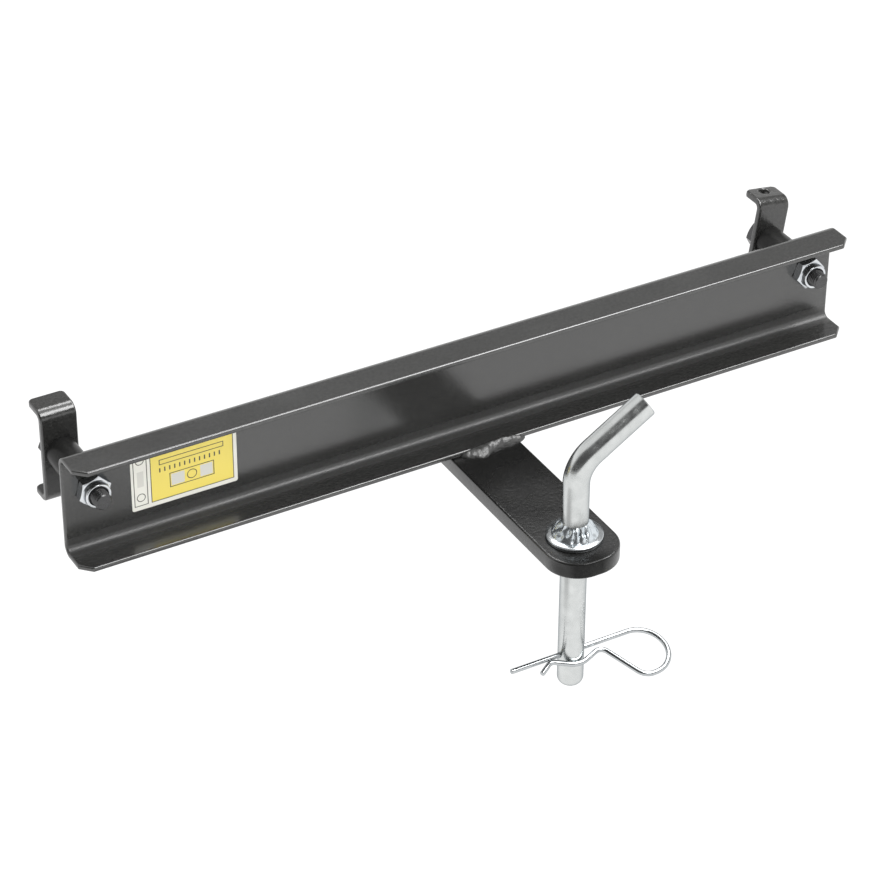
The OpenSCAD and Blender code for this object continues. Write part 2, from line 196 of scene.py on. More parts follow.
def bent_line(corners, radii, turn_step=7.5):
    """A line through the corners, each bend rounded to its radius: straight between bends, and on a
    bend a circle arc that starts radius * tan(turn / 2) before the corner. Returns the length along
    it, the point and the heading at each sample."""
    corners = np.asarray(corners, float)
    legs = np.diff(corners, axis=0)
    headings = np.unwrap(np.arctan2(legs[:, 1], legs[:, 0]))
    points, turned = [corners[:1]], [headings[:1]]
    for bend, radius in enumerate(radii):
        first, last = headings[bend], headings[bend + 1]
        reach = radius * math.tan(abs(last - first) / 2)
        start = corners[bend + 1] - reach * np.array([math.cos(first), math.sin(first)])
        heading = np.linspace(first, last, 2 + int(abs(math.degrees(last - first)) / turn_step))
        side = math.copysign(radius, last - first)
        arc = [np.sin(heading) - math.sin(first), math.cos(first) - np.cos(heading)]
        points.append(start + side * np.stack(arc, 1))
        turned.append(heading)
    points.append(corners[-1:])
    turned.append(headings[-1:])
    points = np.concatenate(points)
    along = np.concatenate([[0], np.hypot(*np.diff(points, axis=0).T).cumsum()])
    return along, points, np.concatenate(turned)


def unit(vectors):
    """The same directions at length 1."""
    return vectors / np.linalg.norm(vectors, axis=-1, keepdims=True)


def in_order(*distances):
    """Several lists of distances as one, in order and each once."""
    return np.unique(np.concatenate(distances).round(7))


def outline_of(index):
    """The numbers round the rim of a grid of point numbers, in order."""
    return np.concatenate([index[:-1, 0], index[-1, :-1], index[:0:-1, -1], index[0, :0:-1]])


def at_heights(rings, heights):
    """Closed rings of flat points, each ring lifted to its own height."""
    lifted = np.broadcast_to(heights[:, None, None], rings.shape[:2] + (1,))
    return closed_rings(np.concatenate([rings, lifted], 2))


def quarter_edge(thickness, edge):
    """A rounded edge from a face down, as heights and outward steps: thickness / 2 - edge +
    edge * cos(a), and edge * sin(a)."""
    angle = np.linspace(0, math.pi / 2, 5)
    return thickness / 2 - edge + edge * np.cos(angle), edge * np.sin(angle)


def strip_edge(rim, thickness, edge):
    """The edge round a strip's rim: two quarter circles with a straight between, each rim point
    moved out square to the mean of the directions to and from it."""
    heights, steps = quarter_edge(thickness, edge)
    ahead = unit(np.roll(rim, -1, 0) - rim)
    tangent = unit(ahead + np.roll(ahead, 1, 0))
    outward = np.stack([tangent[:, 1], -tangent[:, 0]], 1)
    rings = rim + np.concatenate([steps, steps[::-1]])[:, None, None] * outward
    return at_heights(rings, np.concatenate([heights, -heights[::-1]]))


def punched_hole(window, centre, radius, thickness, edge):
    """A hole in a strip: rings that run from a window in the upper face to a circle, over a rounded
    edge through the thickness, and back to the same window in the lower face."""
    heights, steps = quarter_edge(thickness, edge)
    spoke = window - [centre, 0]
    circle = unit(spoke)
    blend = np.array([0, 0.4, 0.75, 0.95, 1])[:, None, None]
    wide = [centre, 0] + spoke * (1 - blend) + circle * (radius + edge) * blend
    wall = [centre, 0] + circle * (radius + edge - steps)[:, None, None]
    rings = np.concatenate([wide, wall])
    heights = np.concatenate([np.full(blend.size, thickness / 2), heights])
    return at_heights(np.concatenate([rings, rings[::-1]]), np.concatenate([heights, -heights[::-1]]))


def folded_strip(line, rows, half_widths, columns, thickness, edge, hole=None):
    """A strip with rounded edges, folded along a line. In the flat a point is s along the line, x
    across it and h off the strip's middle, and its faces lie at h = +-thickness / 2. Folding puts
    it at line(s) + h * normal(s). A hole is (s, radius, rows, columns), the last two the ends of
    its window in the grid."""
    index = np.arange(rows.size * columns.size).reshape(rows.size, columns.size)
    flat = np.stack([np.repeat(rows[:, None], columns.size, 1), half_widths[:, None] * columns], -1)
    flat = flat.reshape(-1, 2)
    face = grid_faces(rows.size, columns.size).reshape(rows.size - 1, columns.size - 1, 4)
    kept = np.ones(face.shape[:2], bool)
    edges = [strip_edge(flat[outline_of(index)], thickness, edge)]
    if hole:
        centre, radius, (row_from, row_to), (column_from, column_to) = hole
        kept[row_from:row_to, column_from:column_to] = False
        window = flat[outline_of(index[row_from:row_to + 1, column_from:column_to + 1])]
        edges.append(punched_hole(window, centre, radius, thickness, edge))
    top = np.column_stack([flat, np.full(len(flat), thickness / 2)])
    under = np.column_stack([flat, np.full(len(flat), -thickness / 2)])
    points, faces = join((top, face[kept]), (under, face[kept]), *edges)
    along, middle, heading = line
    turn = np.interp(points[:, 0], along, heading)
    y = np.interp(points[:, 0], along, middle[:, 0]) - points[:, 2] * np.sin(turn)
    z = np.interp(points[:, 0], along, middle[:, 1]) + points[:, 2] * np.cos(turn)
    return np.stack([points[:, 1], y, z], 1), faces


def fold_rows(line):
    """Rows for a strip with two folds: one at each sample of a fold, and one just outside each of
    its ends, which keeps the flats flat in their shading."""
    folds = line[0][1:-1]
    half = folds.size // 2
    return np.concatenate([folds, folds[[0, half - 1, half, -1]] + np.array([-1, 1, -1, 1]) * support])


beam_low, beam_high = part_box("beam")
sheet = 0.003
beam_fold = 0.0065
corner_cut = 0.0065
coat_edge = 0.001
support = 0.0004
beam_gleam = 0.95
painted_underside_gleam = 0.1
fold_dryness = 0.28
beam_coat, tree, shader, place = powder_coat(
    "satin_black_powder_coat", peel_depth=0.00003, pit_depth=0.0, roughness=0.2, gleam=beam_gleam)
place = add_node(tree, "SeparateXYZ", {"Vector": place})
above_middle = add_node(tree, "Math", {0: place.outputs["Z"], 1: (beam_high.z + beam_low.z) / 2},
                        operation="SUBTRACT")
off_middle = add_node(tree, "Math", {0: above_middle}, operation="ABSOLUTE")
across = add_node(tree, "CombineXYZ", {"Y": place.outputs["Y"], "Z": off_middle})
fold_centre = (0, -beam_fold, (beam_high.z - beam_low.z) / 2 - beam_fold)
from_fold = add_node(tree, "VectorMath", {0: across, 1: fold_centre}, operation="DISTANCE")
inside = add_node(tree, "MapRange", {
    "Value": from_fold.outputs["Value"], "From Min": beam_fold - sheet,
    "From Max": beam_fold - 0.2 * sheet, "To Min": 1.0, "To Max": 0.0})
plain_roughness = shader.inputs["Roughness"].links[0].from_socket
dry = add_node(tree, "Math", {0: inside, 1: fold_dryness, 2: plain_roughness},
               operation="MULTIPLY_ADD")
# Painted shade: faces that hang down are given less reflection.
facing = add_node(tree, "SeparateXYZ", {"Vector": add_node(tree, "NewGeometry", {}).outputs["Normal"]})
painted_reflection_level = add_node(tree, "MapRange", {"Value": facing.outputs["Z"], "From Min": -0.6, "From Max": -0.1,
                                    "To Min": painted_underside_gleam, "To Max": beam_gleam})
feed(tree, shader, {"Roughness": dry, "Specular IOR Level": painted_reflection_level})
beam_line = bent_line(
    [(beam_low.y, beam_high.z - sheet / 2), (-sheet / 2, beam_high.z - sheet / 2),
     (-sheet / 2, beam_low.z + sheet / 2), (beam_low.y, beam_low.z + sheet / 2)],
    [beam_fold - sheet / 2] * 2)
developed = beam_line[0][-1]
cut_end = corner_cut + (math.sqrt(2) - 1) * coat_edge
cut_rows = np.array([coat_edge, coat_edge + support, cut_end, cut_end + support])
beam_rows = in_order(cut_rows, developed - cut_rows, fold_rows(beam_line))
from_end = np.minimum(beam_rows, developed - beam_rows)
beam_halves = np.minimum(beam_high.x - coat_edge,
                         beam_high.x - corner_cut + from_end - math.sqrt(2) * coat_edge)
beam_columns = np.concatenate([[-1, -0.9985], np.linspace(-0.98, 0.98, 25), [0.9985, 1]])
beam_surface = folded_strip(beam_line, beam_rows, beam_halves, beam_columns, sheet, coat_edge)
add_piece("channel_beam", beam_surface, beam_coat, "hitch_frame", "black_coat", "beam")


# Tongue: hot-rolled flat bar, 44 x 10 mm, its end rounded, drilled for the pin and coated with the
# beam. Rolling leaves softer edges and a pitted skin. The bar's coat is painted darker than the beam's,
# and round its end its reflection is turned down: both are painted shade.

def rounded_tip(edge, corner, count):
    """Distances from the end of a strip for rows that suit a rounded corner: corner * (1 - cos a)."""
    return edge + (corner - edge) * (1 - np.cos(np.linspace(0, math.pi / 2, count)))


def corner_half(half_width, edge, corner, from_end):
    """Half width of a strip whose end corners are quarter circles: it loses corner minus the root of
    corner^2 - (corner - distance)^2, and the edge is taken off all round."""
    inner = corner - edge
    left = np.clip(inner - (from_end - edge), 0, inner)
    return half_width - edge - inner + np.sqrt(np.maximum(inner ** 2 - left ** 2, 0))


def columns_round(middle, count, sides):
    """Columns across a strip as shares of its half width: even ones over the middle, where a hole
    is, and the given ones on both sides of it. Returns them, and the hole's first and last."""
    sides = np.array(sides)
    columns = np.concatenate([-sides[::-1], np.linspace(-middle, middle, count), sides])
    return columns, (sides.size, sides.size + count - 1)


def ends_in(rows, part):
    """The numbers of the rows at which a part of them starts and ends."""
    return np.searchsorted(rows, part[[0, -1]].round(7))


tongue_low, tongue_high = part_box("tongue")
tongue_thick = tongue_high.z - tongue_low.z
tongue_edge = 0.0013
tongue_corner = 0.0195
bore_r = 0.0076
bore_window = 0.0115
bore_clear = 0.0123
painted_shade_middle = (-0.006, tongue_low.y, 0)
painted_shade_reach = 0.008
painted_shade_fade = 0.02
pin_y = (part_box("pin_collar")[0].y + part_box("pin_collar")[1].y) / 2
# Painted shade: this coat is set darker than the beam's, over the whole bar.
bar_coat, tree, shader, place = powder_coat(
    "black_powder_coat_on_rolled_bar", peel_depth=0.00005, pit_depth=0.00004, roughness=0.27,
    gleam=0.7, dark="#0d0d0d", light="#181817")
place = add_node(tree, "SeparateXYZ", {"Vector": place})
# Painted shade: the reflection fades out round a spot at the tongue's end, over its end face.
level_with_tip = add_node(tree, "CombineXYZ", {"X": place.outputs["X"], "Y": place.outputs["Y"]})
from_painted_shade = add_node(tree, "VectorMath", {0: level_with_tip, 1: painted_shade_middle}, operation="DISTANCE")
painted_reflection_level = add_node(tree, "MapRange", {"Value": from_painted_shade.outputs["Value"], "From Min": painted_shade_reach,
                                    "From Max": painted_shade_fade, "To Min": 0.15, "To Max": 0.85})
feed(tree, shader, {"Specular IOR Level": painted_reflection_level})
tongue_line = bent_line([(tongue_high.y, tongue_high.z - tongue_thick / 2),
                         (tongue_low.y, tongue_high.z - tongue_thick / 2)], [])
tongue_long = tongue_line[0][-1]
bore_s = tongue_high.y - pin_y
bore_rows = bore_s + np.linspace(-bore_window, bore_window, 15)
root_rows = np.array([tongue_edge, tongue_edge + support, 0.04, 0.07, 0.095])
tip_rows = tongue_long - rounded_tip(tongue_edge, tongue_corner, 14)
tip_rows = tip_rows[np.abs(tip_rows - bore_s) > bore_clear]
tongue_rows = in_order(root_rows, bore_rows, tip_rows)
tongue_halves = corner_half(tongue_high.x, tongue_edge, tongue_corner, tongue_long - tongue_rows)
tongue_columns, bore_columns = columns_round(0.52, 15, [0.75, 0.98, 1])
tongue_surface = folded_strip(
    tongue_line, tongue_rows, tongue_halves, tongue_columns, tongue_thick, tongue_edge,
    (bore_s, bore_r, ends_in(tongue_rows, bore_rows), bore_columns))
add_piece("tongue_bar", tongue_surface, bar_coat, "hitch_frame", "black_coat", "tongue")


# Welds between beam and tongue: a fillet in front of the lower flange, laid in two runs that overlap
# at the middle, and a bead in the wedge under the fold behind it. The coat blurs their ripples.

def lumps(u, v, waves, seed):
    """Soft irregular waves between about -1 and 1: a sum of cosines of waves[0] * u + waves[1] * v,
    each with its own direction, length and start."""
    draw = np.random.default_rng(seed)
    total = 0
    for share in (1, 0.8, 0.6, 0.5, 0.4):
        across, along = draw.uniform(0.5, 1.6, 2) * np.array(waves) * draw.choice([-1, 1], 2)
        total = total + share * np.cos(across * u + along * v + draw.uniform(0, 2 * math.pi))
    return total / 3.3


def bead(x, centre_y, centre_z, reach_y, reach_z, around, flat=1.0):
    """A bead along X: at each x a closed loop about (centre_y, centre_z) whose half axes reach_y and
    reach_z change with x and with the angle round it. It is an ellipse where flat is 1, and above 1
    its sides flatten to a fillet's. Its two ends close to a point."""
    forward, upward = np.cos(around), np.sin(around)
    y = centre_y - reach_y * np.sign(forward) * np.abs(forward) ** flat
    z = centre_z + reach_z * np.sign(upward) * np.abs(upward) ** flat
    x = np.broadcast_to(x, y.shape)
    points = np.stack([x, y, z], -1)
    points[0] = points[0].mean(0)
    points[-1] = points[-1].mean(0)
    return closed_rings(points)


weld_coat = powder_coat("black_powder_coat_on_weld", peel_depth=0.00006, pit_depth=0.00012,
                        roughness=0.46, gleam=0.8)[0]
station = np.linspace(0, 1, 150)[:, None]
around = np.linspace(0, 2 * math.pi, 72, endpoint=False)[None, :]

# The first run's middle lies a quarter along the seam, and the second's two thirds along. The first
# one's toe reaches further out over the tongue, and the second one's root further back.
front_low, front_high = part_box("weld_front")
first_run = np.exp(-((station - 0.26) / 0.18) ** 2)
second_run = np.exp(-((station - 0.66) / 0.2) ** 2)
closing = np.clip(1 - np.abs(2 * station - 1) ** 4, 0, 1) ** 0.6
ripple = 1 + 0.08 * lumps(station, around, (20, 1.3), 3) + 0.05 * lumps(station, around, (58, 3.0), 8)
wander = 0.0005 * lumps(station, 0, (24, 0), 4)
toe_reach = 0.0034 + 0.0035 * first_run
root_reach = 0.0014 + 0.0028 * second_run
front_reach = np.where(np.cos(around) > 0, toe_reach, root_reach)
front_crest = 0.0034 + 0.0004 * first_run + 0.0006 * second_run
front_surface = bead(
    front_low.x + (front_high.x - front_low.x) * station, beam_low.y + wander + 0.0006 * second_run,
    tongue_high.z, front_reach * closing * ripple, front_crest * closing * ripple, around, flat=1.35)
add_piece("front_weld", front_surface, weld_coat, "hitch_frame", "black_coat", "weld_front")

back_low, back_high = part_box("weld_back")
scallop = 0.05 * np.abs(np.sin(station * 15 * math.pi)) + 0.05 * lumps(station, around, (30, 1.0), 5)
swell = np.sqrt(np.clip(1 - (2 * station - 1) ** 12, 0, 1)) * (1 + scallop)
back_half_deep, back_half_tall = 0.0023, 0.0028
back_surface = bead(
    back_low.x + (back_high.x - back_low.x) * station, back_high.y - 0.0011, tongue_high.z + 0.0005,
    back_half_deep * swell, back_half_tall * swell, around)
add_piece("back_weld", back_surface, weld_coat, "hitch_frame", "black_coat", "weld_back")


# Label: polyester film with a printed face, pressed on the web. It is generic: a yellow field in a
# white frame, with plain bars, strokes, rings and plates in thin dark line and grey.

label_low, label_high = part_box("label")
label_mid_x = (label_low.x + label_high.x) / 2
label_mid_z = (label_low.z + label_high.z) / 2
label_material, tree, shader, place = new_material("printed_polyester_film",
                                                   {"IOR": 1.6, "Roughness": 0.32})
to_mm = 1000
in_mm = add_node(tree, "Mapping", {"Vector": place, "Scale": (to_mm, to_mm, to_mm),
                                   "Location": (-to_mm * label_mid_x, 0, -to_mm * label_mid_z)})
axes = add_node(tree, "SeparateXYZ", {"Vector": in_mm})


def both(first, second):
    """1 where two masks are both 1."""
    return add_node(tree, "Math", {0: first, 1: second}, operation="MULTIPLY")


def band_of(value, low, high):
    """1 where the value lies between low and high, in mm, and 0 elsewhere."""
    over = add_node(tree, "Math", {0: value, 1: low}, operation="GREATER_THAN")
    below = add_node(tree, "Math", {0: value, 1: high}, operation="LESS_THAN")
    return both(over, below)


def panel(x_low, x_high, z_low, z_high):
    """1 inside a rectangle of the label, given in mm from its middle."""
    return both(band_of(axes.outputs["X"], x_low, x_high), band_of(axes.outputs["Z"], z_low, z_high))


def ring(x, z, radius, line):
    """1 on a circle line of that width round a point of the label, in mm."""
    point = add_node(tree, "CombineXYZ", {"X": axes.outputs["X"], "Z": axes.outputs["Z"]})
    away = add_node(tree, "VectorMath", {0: point, 1: (x, 0, z)}, operation="DISTANCE")
    return band_of(away.outputs["Value"], radius - line / 2, radius + line / 2)


def frame_line(x_low, x_high, z_low, z_high, line):
    """1 on the outline of a rectangle: inside it, but not inside it less the line's width."""
    inner = panel(x_low + line, x_high - line, z_low + line, z_high - line)
    return add_node(tree, "Math", {0: panel(x_low, x_high, z_low, z_high), 1: inner},
                    operation="SUBTRACT")


def strokes(x_low, x_high, z_low, z_high, step, line):
    """1 on upright strokes of that width inside a rectangle, one every step mm."""
    within = add_node(tree, "Math", {0: axes.outputs["X"], 1: step}, operation="FLOORED_MODULO")
    return both(panel(x_low, x_high, z_low, z_high), band_of(within, 0.0, line))


def print_over(under, mask, colour):
    """Prints a colour over what lies under it, where the mask is 1."""
    return add_node(tree, "Mix", {0: mask, 6: under, 7: linear(colour)}, data_type="RGBA").outputs[2]


ink, plate_grey = "#3d3c33", "#c9c8c1"
thin_line = 0.5
outlined = [(-20.4, 29.9, -17.4, 17.9), (-30.6, -22.2, -17.4, 17.9), (-15, 24, 5.5, 9),
            (-9, 18, -11, -1.5)]
ringed = [(-26.4, 12, 2.4), (-26.4, -12, 2.4), (4.5, -6.2, 2.8)]
plated = [(-8, 0, -10, -2.5), (9.5, 17, -10, -2.5), (-28.4, -24.4, -5, 5)]
printed = print_over(linear("#dddcd4"), panel(-20.0, 29.5, -17.0, 17.5), "#e2cf62")
for sides in outlined:
    printed = print_over(printed, frame_line(*sides, thin_line), ink)
for place_and_radius in ringed:
    printed = print_over(printed, ring(*place_and_radius, thin_line), ink)
for sides in plated:
    printed = print_over(printed, panel(*sides), plate_grey)
printed = print_over(printed, strokes(-15, 24, 0.8, 3.6, 3, 0.8), ink)
feed(tree, shader, {"Base Color": printed})

label_corner = 0.0012
label_edge = 0.00005
label_half = (label_high.x - label_low.x) / 2
label_t = label_high.y - label_low.y
film_y = label_low.y + label_t / 2
label_line = bent_line([(label_low.z, film_y), (label_high.z, film_y)], [])
label_tall = label_line[0][-1]
corner_rows = rounded_tip(label_edge, label_corner, 7)
row_inset = 0.004
even_rows = np.linspace(row_inset, label_tall - row_inset, 5)
label_rows = in_order(corner_rows, label_tall - corner_rows, even_rows)
from_end = np.minimum(label_rows, label_tall - label_rows)
label_halves = corner_half(label_half, label_edge, label_corner, from_end)
flat_points, label_faces = folded_strip(label_line, label_rows, label_halves, np.linspace(-1, 1, 9),
                                        label_t, label_edge)
label_points = flat_points[:, [0, 2, 1]] + [label_mid_x, 0, 0]
add_piece("label_film", (label_points, label_faces), label_material, "hitch_frame", "label", "label")


# Spacers: cut steel tube, 18.5 mm outside, between the web and each bracket. The cut ends are eased
# with a small round. The tube's coat is darker and gleams far less than the beam's: a painted shade.

def turned(profile, turns, side=None):
    """A shape turned about +Y: a row of points round the axis for each (radius, y) of the profile.
    With side, a row's radius is instead its first value times the distance to the hexagon's flat in
    that direction, so a first value of 1 lies on the flats."""
    radius = np.array([r for r, _ in profile])[:, None]
    y = np.array([h for _, h in profile])[:, None]
    if side is not None:
        radius = radius * side
    ring_points = [radius * np.cos(turns), np.broadcast_to(y, np.broadcast(radius, turns).shape),
                   radius * np.sin(turns)]
    return np.stack(np.broadcast_arrays(*ring_points), -1)


def arc_profile(centre_r, centre_y, radius, start, end, count=6):
    """Points (r, y) of a circle arc about (centre_r, centre_y), from start to end degrees."""
    angles = np.radians(np.linspace(start, end, count))
    return [(centre_r + radius * math.cos(a), centre_y + radius * math.sin(a)) for a in angles]


# Painted shade: darker and far less gleaming than the beam's coat.
tube_coat = powder_coat("black_powder_coat_on_tube", peel_depth=0.00002, pit_depth=0.0,
                        roughness=0.3, gleam=0.12, dark="#1b1b1b", light="#232322")[0]
full_turn = np.linspace(0, 2 * math.pi, 96, endpoint=False)
bore = 0.00525
cut_edge = 0.0005
face_support, wall_support = 0.0002, 0.002
for side_name in ("left", "right"):
    low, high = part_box("spacer_" + side_name)
    outer = (high.x - low.x) / 2
    tube = [(bore + cut_edge, low.y), (outer - cut_edge - face_support, low.y)]
    tube += arc_profile(outer - cut_edge, low.y + cut_edge, cut_edge, -90, 0)
    tube += [(outer, low.y + wall_support), (outer, high.y - wall_support)]
    tube += arc_profile(outer - cut_edge, high.y - cut_edge, cut_edge, 0, 90)
    tube += [(bore + cut_edge, high.y), (bore, high.y - cut_edge), (bore, low.y + cut_edge)]
    points, faces = closed_rings(turned(tube, full_turn), loop=True)
    points = points + [(low.x + high.x) / 2, 0, 0]
    add_piece("spacer_tube_" + side_name, (points, faces), tube_coat, "hitch_frame", "black_coat",
              "spacer_" + side_name)


# Bolts: M10 x 60 hexagon bolts, cold forged, with rolled threads, blackened in hot caustic salts. The
# black oxide is thin and oily, so the metal under it still shines.

def hexagon(turns, across_flats, first_corner):
    """Distance from the axis to a hexagon's side: half the width across flats over the cosine of the
    angle from the middle of that side."""
    from_corner = np.mod(turns - first_corner, math.pi / 3)
    return across_flats / 2 / np.cos(from_corner - math.pi / 6)


def hexagon_turns(first_corner):
    """Angles for a hexagon's rows: fine steps, with every corner hit exactly."""
    return first_corner + full_turn


def chamfered_rows(turns, hex_side, start_r, y_face, inward):
    """Rows where a hexagon's face is chamfered: a circle on the face, then the line where the 30
    degree cone meets the flats, (side - start_r) * tan(30) behind the face."""
    depth = np.maximum(hex_side - start_r, 0) * math.tan(math.radians(30))
    rows = []
    for share in (0.0, 0.5, 0.9, 1.0):
        radius = start_r + (hex_side - start_r) * share
        radius = np.where(hex_side > start_r, radius, hex_side)
        rows.append(np.stack([radius * np.cos(turns), y_face + inward * depth * share,
                              radius * np.sin(turns)], -1))
    return np.stack(rows)


oxide, tree, shader, place = new_material("black_oxide_steel", {"Metallic": 0.85})
grime_width = 0.0025
grime = add_node(tree, "TexNoise", {"Vector": place, "Scale": 1 / grime_width, "Detail": 4.0})
tint = add_node(tree, "Mix", {0: grime, 6: linear("#4e4e4e"), 7: linear("#626263")},
                data_type="RGBA")
dull = add_node(tree, "MapRange", {"Value": grime, **noise_span, "To Min": 0.24, "To Max": 0.32})
bump = add_node(tree, "Bump", {"Height": grime, "Strength": 1.0, "Distance": 0.00002})
feed(tree, shader, {"Base Color": tint.outputs[2], "Roughness": dull, "Normal": bump})

thread_r = 0.005
thread_pitch = 0.0015
thread_depth = 0.00095
thread_long = 0.0098
run_out_long = 0.0008
thread_rows_long = 0.0100
thread_row_step = 0.0001
point_chamfer = 0.00095
bolt_flats = 0.017
head_t = 0.0064
washer_face_r = 0.0079
washer_face_t = 0.0004
crown_r = bolt_flats / 2 - 0.0003
dish_r = 0.0076
for side_name in ("left", "right"):
    low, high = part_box("bolt_" + side_name)
    bolt_x = (low.x + high.x) / 2
    seat_y = high.y - head_t
    thread_y = np.arange(low.y, low.y + thread_rows_long, thread_row_step)
    y = np.concatenate([thread_y, [seat_y - 0.0006, seat_y]])[:, None]
    turns = full_turn[None, :]
    # The thread's height runs 0 to 1 from crest to root, and is clipped to give both a flat.
    into_thread = np.abs(2 * np.mod(y / thread_pitch + turns / (2 * math.pi), 1) - 1)
    run_out = np.clip((low.y + thread_long - y) / run_out_long, 0, 1)
    radius = thread_r - thread_depth * np.clip(1.3 * into_thread - 0.15, 0, 1) * run_out
    radius = np.minimum(radius, thread_r - point_chamfer + (y - low.y))
    shank = np.stack(np.broadcast_arrays(radius * np.cos(turns), y, radius * np.sin(turns)), -1)
    point_rim = shank[:1] * [0.96, 1, 0.96]
    point_centre = np.broadcast_to([0, low.y, 0], point_rim.shape)
    corner_at = math.pi
    head_turns = hexagon_turns(corner_at)
    head_side = hexagon(head_turns, bolt_flats, corner_at)
    under_head = seat_y + washer_face_t
    seat = turned([(thread_r, seat_y), (washer_face_r - 0.0001, seat_y), (washer_face_r, under_head)],
                  head_turns)
    flats = turned([(1.0, under_head), (1.0, under_head + 0.0002)], head_turns, head_side)
    crown = chamfered_rows(head_turns, head_side, crown_r, high.y, -1)[::-1]
    dish = turned([(dish_r, high.y), (dish_r - 0.0006, high.y - 0.0002), (0.0, high.y - 0.0003)],
                  head_turns)
    bolt_points, bolt_faces = join(
        closed_rings(np.concatenate([point_centre, point_rim, shank])),
        closed_rings(np.concatenate([seat, flats, crown, dish])))
    add_piece("bolt_m10_" + side_name, (bolt_points + [bolt_x, 0, 0], bolt_faces), oxide,
              "hitch_frame", "black_oxide", "bolt_" + side_name)


# Nuts: M10 lock nuts with a hexagon and a round crimped collar that holds a nylon ring. Both are
# cold formed steel with bright zinc plate, clear passivated, which leaves a faint blue cast.

edge_tint = (0.42, 0.44, 0.46, 1.0)


def zinc_plate(name, light, dark, rough, grain, depth):
    """Zinc plate: a metal whose tint and gloss drift over a few millimetres, over the fine grain that
    forming left in the steel, here drawn coarser than it is so that it shows. It is darker at a
    grazing angle, as zinc is."""
    drift_width = 0.006
    material, tree, shader, place = new_material(name, {"Metallic": 1.0, "Specular Tint": edge_tint})
    drift = add_node(tree, "TexNoise", {"Vector": place, "Scale": 1 / drift_width, "Detail": 4.0})
    fine = add_node(tree, "TexNoise", {"Vector": place, "Scale": 1 / grain, "Detail": 3.0})
    tint = add_node(tree, "Mix", {0: drift, 6: linear(light), 7: linear(dark)}, data_type="RGBA")
    dull = add_node(tree, "MapRange", {"Value": drift, **noise_span,
                                       "To Min": rough[0], "To Max": rough[1]})
    bump = add_node(tree, "Bump", {"Height": fine, "Strength": 1.0, "Distance": depth})
    feed(tree, shader, {"Base Color": tint.outputs[2], "Roughness": dull, "Normal": bump})
    return material


nut_zinc = zinc_plate("bright_zinc_plate_on_nut", "#f2f4f6", "#cdd1d5", rough=(0.12, 0.24),
                      grain=0.0009, depth=0.00002)
nylon, tree, shader, place = new_material("black_nylon", {"IOR": 1.53, "Roughness": 0.42})
flow_width = 0.002
cloud = add_node(tree, "TexNoise", {"Vector": place, "Scale": 1 / flow_width, "Detail": 2.0})
tint = add_node(tree, "Mix", {0: cloud, 6: linear("#232325"), 7: linear("#303032")},
                data_type="RGBA")
feed(tree, shader, {"Base Color": tint.outputs[2]})

nut_flats = 0.017
nut_hex_h = 0.006
nut_bore_r = thread_r - 0.0001
nut_seat_r = nut_flats / 2 - 0.0002
nut_back_r = nut_flats / 2 - 0.0004
nut_collar_r = 0.0075
crimp_r = 0.0008
lip_r = 0.0003
mouth_r = 0.0058
insert_r = 0.0060
insert_bore_r = thread_r - 0.0002
for side_name, hex_turn in (("left", 16), ("right", 10)):
    low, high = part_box("nut_" + side_name)
    nut_x = (low.x + high.x) / 2
    corner_at = math.radians(hex_turn)
    turns = hexagon_turns(corner_at)
    nut_side = hexagon(turns, nut_flats, corner_at)
    shoulder = high.y - nut_hex_h
    bore = turned([(nut_bore_r, low.y + 0.0012), (nut_bore_r, high.y - 0.0006),
                   (thread_r + 0.0005, high.y)], turns)
    seat = chamfered_rows(turns, nut_side, nut_seat_r, high.y, -1)
    back = chamfered_rows(turns, nut_side, nut_back_r, shoulder, 1)[::-1]
    crimp = [(nut_collar_r + 0.0003, shoulder), (nut_collar_r, shoulder - 0.0003),
             (nut_collar_r, low.y + crimp_r)]
    crimp += arc_profile(nut_collar_r - crimp_r, low.y + crimp_r, crimp_r, 0, -90, 7)
    crimp += arc_profile(mouth_r + lip_r, low.y + lip_r, lip_r, -90, -180, 4)
    crimp += [(mouth_r, low.y + 0.0010), (nut_bore_r, low.y + 0.0010)]
    rows = np.concatenate([bore, seat, back, turned(crimp, turns)])
    points, faces = closed_rings(rows, loop=True)
    add_piece("lock_nut_" + side_name, (points + [nut_x, 0, 0], faces), nut_zinc, "hitch_frame",
              "zinc", "nut_" + side_name)
    insert = [(insert_bore_r, low.y + 0.0008), (0.0055, low.y + 0.00045), (mouth_r, low.y + 0.0006),
              (insert_r, low.y + 0.0011), (insert_r, low.y + 0.0030), (insert_bore_r, low.y + 0.0030)]
    points, faces = closed_rings(turned(insert, turns), loop=True)
    add_piece("nylon_ring_" + side_name, (points + [nut_x, 0, 0], faces), nylon, "hitch_frame",
              "nylon", "nut_insert_" + side_name)


# Brackets: 21.5 x 4 mm strip folded to a C with rounded ends and one lip punched, under the same
# black coat. Each turns on its bolt. The right one stands 8 degrees off upright with its punched lip
# up, and the left one hangs the other way.

strip_half = 0.01075
strip_t = 0.004
bracket_fold = 0.0065
bracket_corner = 0.003
plate_back = 0.0407
lip_hole_r = 0.00325
lip_hole_edge = 0.005
lip_window = 0.0041
lip_clear = 0.0042
upper_lip_y = 0.0547
lower_lip_y = 0.0527
upper_z = 0.027
lower_z = -0.0325
bolt_axis_x = 0.233
right_turn = math.radians(8.2)
# Painted shade: the brackets' coat gleams less than the beam's.
bracket_coat = powder_coat("black_powder_coat_on_strip", peel_depth=0.00003, pit_depth=0.00004,
                           roughness=0.2, gleam=0.75)[0]
bracket_line = bent_line(
    [(upper_lip_y, upper_z - strip_t / 2), (plate_back - strip_t / 2, upper_z - strip_t / 2),
     (plate_back - strip_t / 2, lower_z + strip_t / 2), (lower_lip_y, lower_z + strip_t / 2)],
    [bracket_fold - strip_t / 2] * 2)
strip_long = bracket_line[0][-1]
bracket_columns, lip_columns = columns_round(0.44, 11, [0.7, 0.96, 1])
lip_tip = rounded_tip(coat_edge, bracket_corner, 8)


